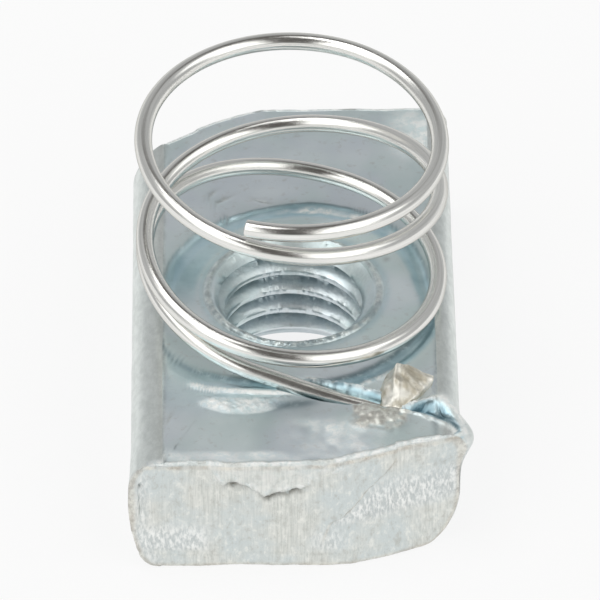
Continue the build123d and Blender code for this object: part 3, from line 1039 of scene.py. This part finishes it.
def rolled_zinc():
    """The nut's own steel: mottled zinc on the rolled faces and brighter torn ends."""
    nodes = plated("rolled_zinc")
    mix, step, ramp, times = nodes.mix, nodes.step, nodes.ramp, nodes.times
    mask = {name: nodes.attribute(name, "Fac") for name in mask_names}
    cloud = nodes.noise(nodes.place, 330, 4.0)
    drift = nodes.noise(nodes.place, 150, 2.0)
    fine = nodes.noise(nodes.place, 3200, 4.0)
    grit = nodes.noise(nodes.place, 1500, 5.0, 0.7)
    speckle = nodes.noise(nodes.stretched((2300, 2300, 1500)), 1, 5.0, 0.68)
    rolling = nodes.noise(nodes.stretched((2400, 1300, 1800)), 1, 4.0, 0.65)
    scored = nodes.noise(nodes.stretched((9000, 9000, 500)), 1, 3.0)
    flakes = nodes.noise(nodes.stretched((6200, 6200, 2200), (0, 0.3, 0)), 1, 3.0, 0.6)

    face = mix(step(drift, 0.42, 0.6), (0.71, 0.825, 0.83, 1), (0.76, 0.83, 0.88, 1))
    face = mix(ramp(cloud, 0.35, 0.65, 0.0, 0.45), face, (0.86, 0.92, 0.93, 1))
    face = mix(ramp(grit, 0.56, 0.72, 0.0, 0.5), face, (0.55, 0.56, 0.54, 1))
    edge = mix(step(rolling, 0.35, 0.65), (0.69, 0.73, 0.71, 1), (0.79, 0.83, 0.81, 1))
    film = mix(step(cloud, 0.34, 0.66), (0.36, 0.55, 0.62, 1), (0.60, 0.785, 0.845, 1))
    frost = mix(step(grit, 0.4, 0.6), (0.74, 0.81, 0.81, 1), (0.97, 0.98, 0.96, 1))
    torn = mix(step(scored, 0.3, 0.7), (0.63, 0.65, 0.615, 1), (0.81, 0.82, 0.78, 1))
    torn = mix(ramp(cloud, 0.4, 0.62, 0.0, 0.8), torn, (0.66, 0.72, 0.725, 1))
    torn = mix(ramp(speckle, 0.53, 0.66, 0.0, 0.6), torn, (0.95, 0.95, 0.90, 1))
    torn = mix(ramp(speckle, 0.46, 0.34, 0.0, 0.5), torn, (0.50, 0.50, 0.46, 1))
    fleck = mix(step(flakes, 0.38, 0.66), (0.57, 0.61, 0.61, 1), (0.98, 0.99, 0.97, 1))

    colour = mix(mask["band"], face, edge)
    colour = mix(mask["film"], colour, film)
    colour = mix(mask["torn"], colour, torn)
    frosted = times(mask["frost"], step(grit, 0.3, 0.5))
    colour = mix(frosted, colour, frost)
    colour = mix(times(mask["fleck"], 0.8), colour, fleck)
    stain = mix(step(grit, 0.4, 0.6), (0.44, 0.38, 0.31, 1), (0.86, 0.83, 0.74, 1))
    colour = mix(times(mask["stain"], 0.7), colour, stain)
    # Painted shade: dark teal on the faces and dark brown on the torn ends, broken by lighter grit.
    shade_colour = mix(mask["torn"], (0.13, 0.22, 0.27, 1), (0.13, 0.12, 0.10, 1))
    shade_colour = mix(step(grit, 0.5, 0.68), shade_colour, (0.54, 0.65, 0.68, 1))
    colour = mix(times(mask["painted_shade_and_specks"], 0.85), colour, shade_colour)
    nodes.drive("Base Color", colour)

    rough = ramp(cloud, 0.3, 0.7, 0.34, 0.44)
    rough = nodes.blend(mask["film"], rough, 0.31)
    rough = nodes.blend(mask["frost"], rough, 0.62)
    rough = nodes.blend(mask["torn"], rough, ramp(scored, 0.3, 0.7, 0.36, 0.52))
    rough = nodes.blend(mask["fleck"], rough, 0.3)
    nodes.drive("Roughness", rough)
    dull = nodes.maths("MAXIMUM", mask["frost"], times(mask["stain"], 0.5))
    nodes.drive("Metallic", nodes.blend(dull, 1.0, 0.3))

    normal = nodes.bump(fine, 0.3, 0.00002)
    for texture, where, strength, depth in (
        (grit, "frost", 0.7, 0.0001),
        (rolling, "band", 0.5, 0.00008),
        (scored, "torn", 0.5, 0.00006),
        (flakes, "fleck", 0.8, 0.00012),
        (speckle, "torn", 0.6, 0.00008),
    ):
        normal = nodes.bump(times(texture, mask[where]), strength, depth, normal)
    nodes.drive("Normal", normal)
    return nodes.owner


def drawn_wire():
    """Bright plated spring wire, with faint marks drawn along it."""
    nodes = plated("drawn_wire")
    nodes.drive("Specular Tint", (0.62, 0.62, 0.60, 1))
    cloud = nodes.noise(nodes.place, 700)
    lines = nodes.noise(nodes.attribute("streak_place", "Vector"), 9, 4.0, 0.6)
    fine = nodes.noise(nodes.place, 4200, 4.0)
    colour = nodes.mix(nodes.step(lines, 0.35, 0.65), (0.78, 0.78, 0.75, 1), (0.89, 0.88, 0.85, 1))
    nodes.drive("Base Color", colour)
    nodes.drive("Roughness", nodes.ramp(cloud, 0.3, 0.7, 0.13, 0.2))
    drawn = nodes.bump(lines, 0.25, 0.00003)
    nodes.drive("Normal", nodes.bump(fine, 0.15, 0.00001, drawn))
    return nodes.owner


def torn_zinc():
    """Rough metal sheared up by the staking, in tan and cream patches, with a painted highlight on its
    sharp edges.
    """
    nodes = plated("torn_zinc")
    cloud = nodes.noise(nodes.place, 800)
    fine = nodes.noise(nodes.place, 5200, 5.0)
    # Painted highlight: the sharp convex edges lightened to cream.
    edges = nodes.step(nodes.add("NewGeometry").outputs["Pointiness"], 0.49, 0.56)
    colour = nodes.mix(nodes.step(cloud, 0.35, 0.65), (0.52, 0.48, 0.38, 1), (0.85, 0.84, 0.78, 1))
    colour = nodes.mix(edges, colour, (0.98, 0.95, 0.87, 1))
    nodes.drive("Base Color", colour)
    nodes.drive("Roughness", nodes.ramp(fine, 0.3, 0.7, 0.38, 0.55))
    nodes.drive("Normal", nodes.bump(fine, 0.5, 0.00005))
    return nodes.owner


# --- Floor and light ---
floor_glow = 0.85  # share of the floor's brightness that doesn't depend on the light
lamp_sides = (0.22, 0.34, 0.74, 0.9)
lamp_rises = (16, 27, 90, 110)
gap_sides = (0.36, 0.24)
gap_rises = (12, 22, 116, 142)
lamp_light = (1.55, 1.55, 1.53, 1)
gap_light = (0.11, 0.105, 0.1, 1)
wall_light = (0.47, 0.475, 0.48, 1)
front_light = (0.74, 0.745, 0.73, 1)
back_light = (0.62, 0.63, 0.64, 1)


def add_floor():
    """A plain pale floor that reads as white and keeps the nut's shadow."""
    reach, level = 0.6, -0.00003
    corners = [(-reach, -reach), (reach, -reach), (reach, reach), (-reach, reach)]
    corners = [(x, y, level) for x, y in corners]
    mesh = bpy.data.meshes.new("floor")
    mesh.from_pydata(corners, [], [(0, 1, 2, 3)])
    floor = placed("floor", mesh)
    nodes = Nodes(bpy.data.materials.new("floor_paper"))
    paper = nodes.noise(nodes.place, 60)
    colour = nodes.mix(paper, (0.86, 0.86, 0.86, 1), (0.88, 0.88, 0.88, 1))
    nodes.drive("Roughness", 0.9)
    nodes.drive("Specular IOR Level", 0.0)
    path = nodes.add("LightPath")
    seen = nodes.maths("MAXIMUM", path.outputs["Is Camera Ray"], path.outputs["Is Glossy Ray"])
    seen = nodes.maths("MAXIMUM", seen, path.outputs["Is Transmission Ray"])
    colour = nodes.mix(nodes.times(seen, floor_glow), colour, (0, 0, 0, 1))
    nodes.drive("Base Color", colour)
    nodes.drive("Emission Color", (1, 1, 1, 1))
    nodes.drive("Emission Strength", nodes.times(seen, floor_glow))
    floor.data.materials.append(nodes.owner)


def add_tent():
    """The studio's walls, two wide lamps beside the camera and the dark gap between them.

    A direction's side is its sideways part, and its rise is the angle in degrees from the
    horizon in front, over the top, to the horizon behind.
    """
    world = bpy.data.worlds.new("tent")
    bpy.context.scene.world = world
    nodes = Nodes(world, "Background")
    way = nodes.add("SeparateXYZ", {0: nodes.add("TexCoord").outputs["Generated"]})
    side = nodes.maths("ABSOLUTE", way.outputs["X"], 0.0)
    front = nodes.times(way.outputs["Y"], -1.0)
    rise = nodes.maths("ARCTAN2", way.outputs["Z"], front)
    rise = nodes.times(rise, 180 / math.pi)

    def within(value, edges):
        """1 between the two inner edges and 0 outside the two outer ones."""
        inwards = nodes.step(value, edges[0], edges[1])
        outwards = nodes.step(value, edges[3], edges[2])
        return nodes.times(inwards, outwards)

    lamps = nodes.times(within(side, lamp_sides), within(rise, lamp_rises))
    gap = nodes.times(nodes.step(side, *gap_sides), within(rise, gap_rises))
    light = nodes.mix(nodes.step(rise, 26, 12), wall_light, front_light)
    light = nodes.mix(nodes.step(rise, 150, 172), light, back_light)
    light = nodes.mix(gap, light, gap_light)
    light = nodes.mix(lamps, light, lamp_light)
    horizon = nodes.maths("ADD", nodes.step(rise, 8, 3), nodes.step(rise, 172, 177))
    nodes.drive("Color", nodes.mix(horizon, light, (1, 1, 1, 1)))


def add_softbox(name, location, size, power):
    """A large soft lamp aimed at the nut."""
    data = bpy.data.lights.new(name, "AREA")
    data.shape = "DISK"
    data.size = size
    data.energy = power
    lamp = placed(name, data)
    lamp.location = location
    aim = Vector((0, 0, 0.008)) - Vector(location)
    lamp.rotation_euler = aim.to_track_quat("-Z", "Y").to_euler()


# --- Scene ---
add_camera()

block = nut_block()
block.data.materials.append(rolled_zinc())
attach(block, "root")
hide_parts("nut_body")

lug = staked_lug()
lug.data.materials.append(torn_zinc())
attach(lug, "root")
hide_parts("nut_body")

wire = spring_wire()
wire.data.materials.append(drawn_wire())
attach(wire, "root")
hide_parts("coil_spring")

bpy.context.scene.view_settings.view_transform = "Standard"
add_floor()
add_tent()
add_softbox("key", (-0.12, 0.05, 0.45), 0.25, 0.35)
